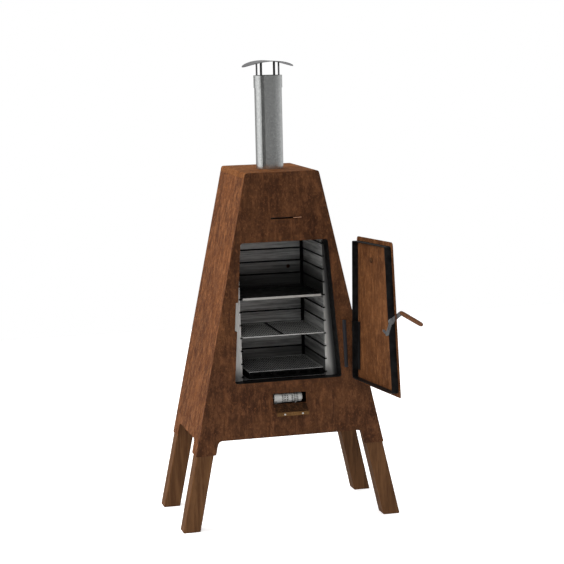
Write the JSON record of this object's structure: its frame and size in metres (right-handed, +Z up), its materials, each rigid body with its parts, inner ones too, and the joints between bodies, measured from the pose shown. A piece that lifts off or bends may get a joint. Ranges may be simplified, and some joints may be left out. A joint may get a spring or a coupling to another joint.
{
  "type": "vertical smoker",
  "caption": "Tall rust-steel cabinet smoker on splayed timber legs, with a hinged latching door, sliding shelves and charcoal basket, a draft flap and a damped, capped flue",
  "frame": {"origin": "centre of the base of the bounding box, on the ground under the feet", "axes": "+X to the right seen from the front, +Y from the front to the back, +Z up"},
  "size_m": [0.9762, 1.0495, 1.998],
  "materials": {
    "rust_steel": "weathered rust patina, matt and blotchy",
    "black_enamel": "satin black heat-proof coating",
    "liner_steel": "dull grey sheet steel",
    "black_wire": "black coated wire and mesh",
    "zinc_steel": "galvanised with a soft spangle",
    "stainless": "bright brushed steel",
    "timber": "sawn timber, brown stained",
    "grip_wood": "turned hardwood, oiled"
  },
  "bodies": {
    "cabinet": {"front_panel": "rust_steel", "left_panel": "rust_steel", "right_panel": "rust_steel", "back_panel": "rust_steel", "top_panel": "rust_steel", "floor_panel": "rust_steel", "door_frame": "black_enamel", "liner_face": "liner_steel", "liner_left": "liner_steel", "liner_right": "liner_steel", "liner_back": "liner_steel", "liner_ceiling": "liner_steel", "liner_floor": "liner_steel", "rack_left": "black_wire", "rack_right": "black_wire", "rack_rear": "black_wire", "flue_pipe": "zinc_steel", "flue_collar": "zinc_steel", "cap_post_front_left": "zinc_steel", "cap_post_front_right": "zinc_steel", "cap_post_rear_left": "zinc_steel", "cap_post_rear_right": "zinc_steel", "flue_cap": "zinc_steel", "flue_spigot": "liner_steel", "damper_rail_front": "liner_steel", "damper_rail_rear": "liner_steel", "smoke_tube": "stainless", "tube_sleeve": "stainless", "tube_cap": "stainless", "tube_cradle": "liner_steel", "hinge_leaf": "rust_steel", "hinge_rib": "liner_steel", "hinge_pin": "stainless", "strike_plate": "zinc_steel", "strike_pin": "stainless", "flap_ear_left": "rust_steel", "flap_ear_right": "rust_steel", "front_left_leg": "timber", "front_right_leg": "timber", "rear_left_leg": "timber", "rear_right_leg": "timber"},
    "damper": {"damper_plate": "liner_steel"},
    "flap": {"draft_flap": "rust_steel", "flap_pull": "rust_steel", "flap_screw_left": "stainless", "flap_screw_right": "stainless", "flap_pin": "stainless"},
    "door": {"door_panel": "rust_steel", "door_rim": "black_enamel", "door_liner": "rust_steel", "hinge_backing": "black_enamel", "hinge_arm_upper": "black_enamel", "hinge_arm_lower": "black_enamel", "latch_bolt": "stainless"},
    "latch": {"latch_lever": "zinc_steel", "handle_grip": "grip_wood"},
    "pan": {"drip_pan": "black_enamel"},
    "grate": {"food_grate": "stainless"},
    "basket": {"charcoal_basket": "black_wire", "charcoal_grate": "black_wire"}
  },
  "joints": [
    {"name": "door_hinge", "type": "hinge", "parent": "cabinet", "child": "door", "pos_m": [0.2955, 0.03103, 0.77472], "axis": [0, 0.044, 0.999], "range_deg": [-92.9, 57]},
    {"name": "latch_turn", "type": "hinge", "parent": "door", "child": "latch", "pos_m": [0.29883, -0.47424, 0.9501], "axis": [-0.0505, 0.9917, -0.1183], "range_deg": [0, 40]},
    {"name": "flap_tilt", "type": "hinge", "parent": "cabinet", "child": "flap", "pos_m": [0, 0.02564, 0.52471], "axis": [1, 0, 0], "range_deg": [-118, 0]},
    {"name": "damper_slide", "type": "slide", "parent": "cabinet", "child": "damper", "axis": [-1, 0, 0], "range_m": [0, 0.098]},
    {"name": "pan_slide", "type": "slide", "parent": "cabinet", "child": "pan", "axis": [0, -1, 0], "range_m": [0, 0.28]},
    {"name": "grate_slide", "type": "slide", "parent": "cabinet", "child": "grate", "axis": [0, -1, 0], "range_m": [0, 0.28]},
    {"name": "basket_slide", "type": "slide", "parent": "cabinet", "child": "basket", "axis": [0, -1, 0], "range_m": [0, 0.25]}
  ]
}
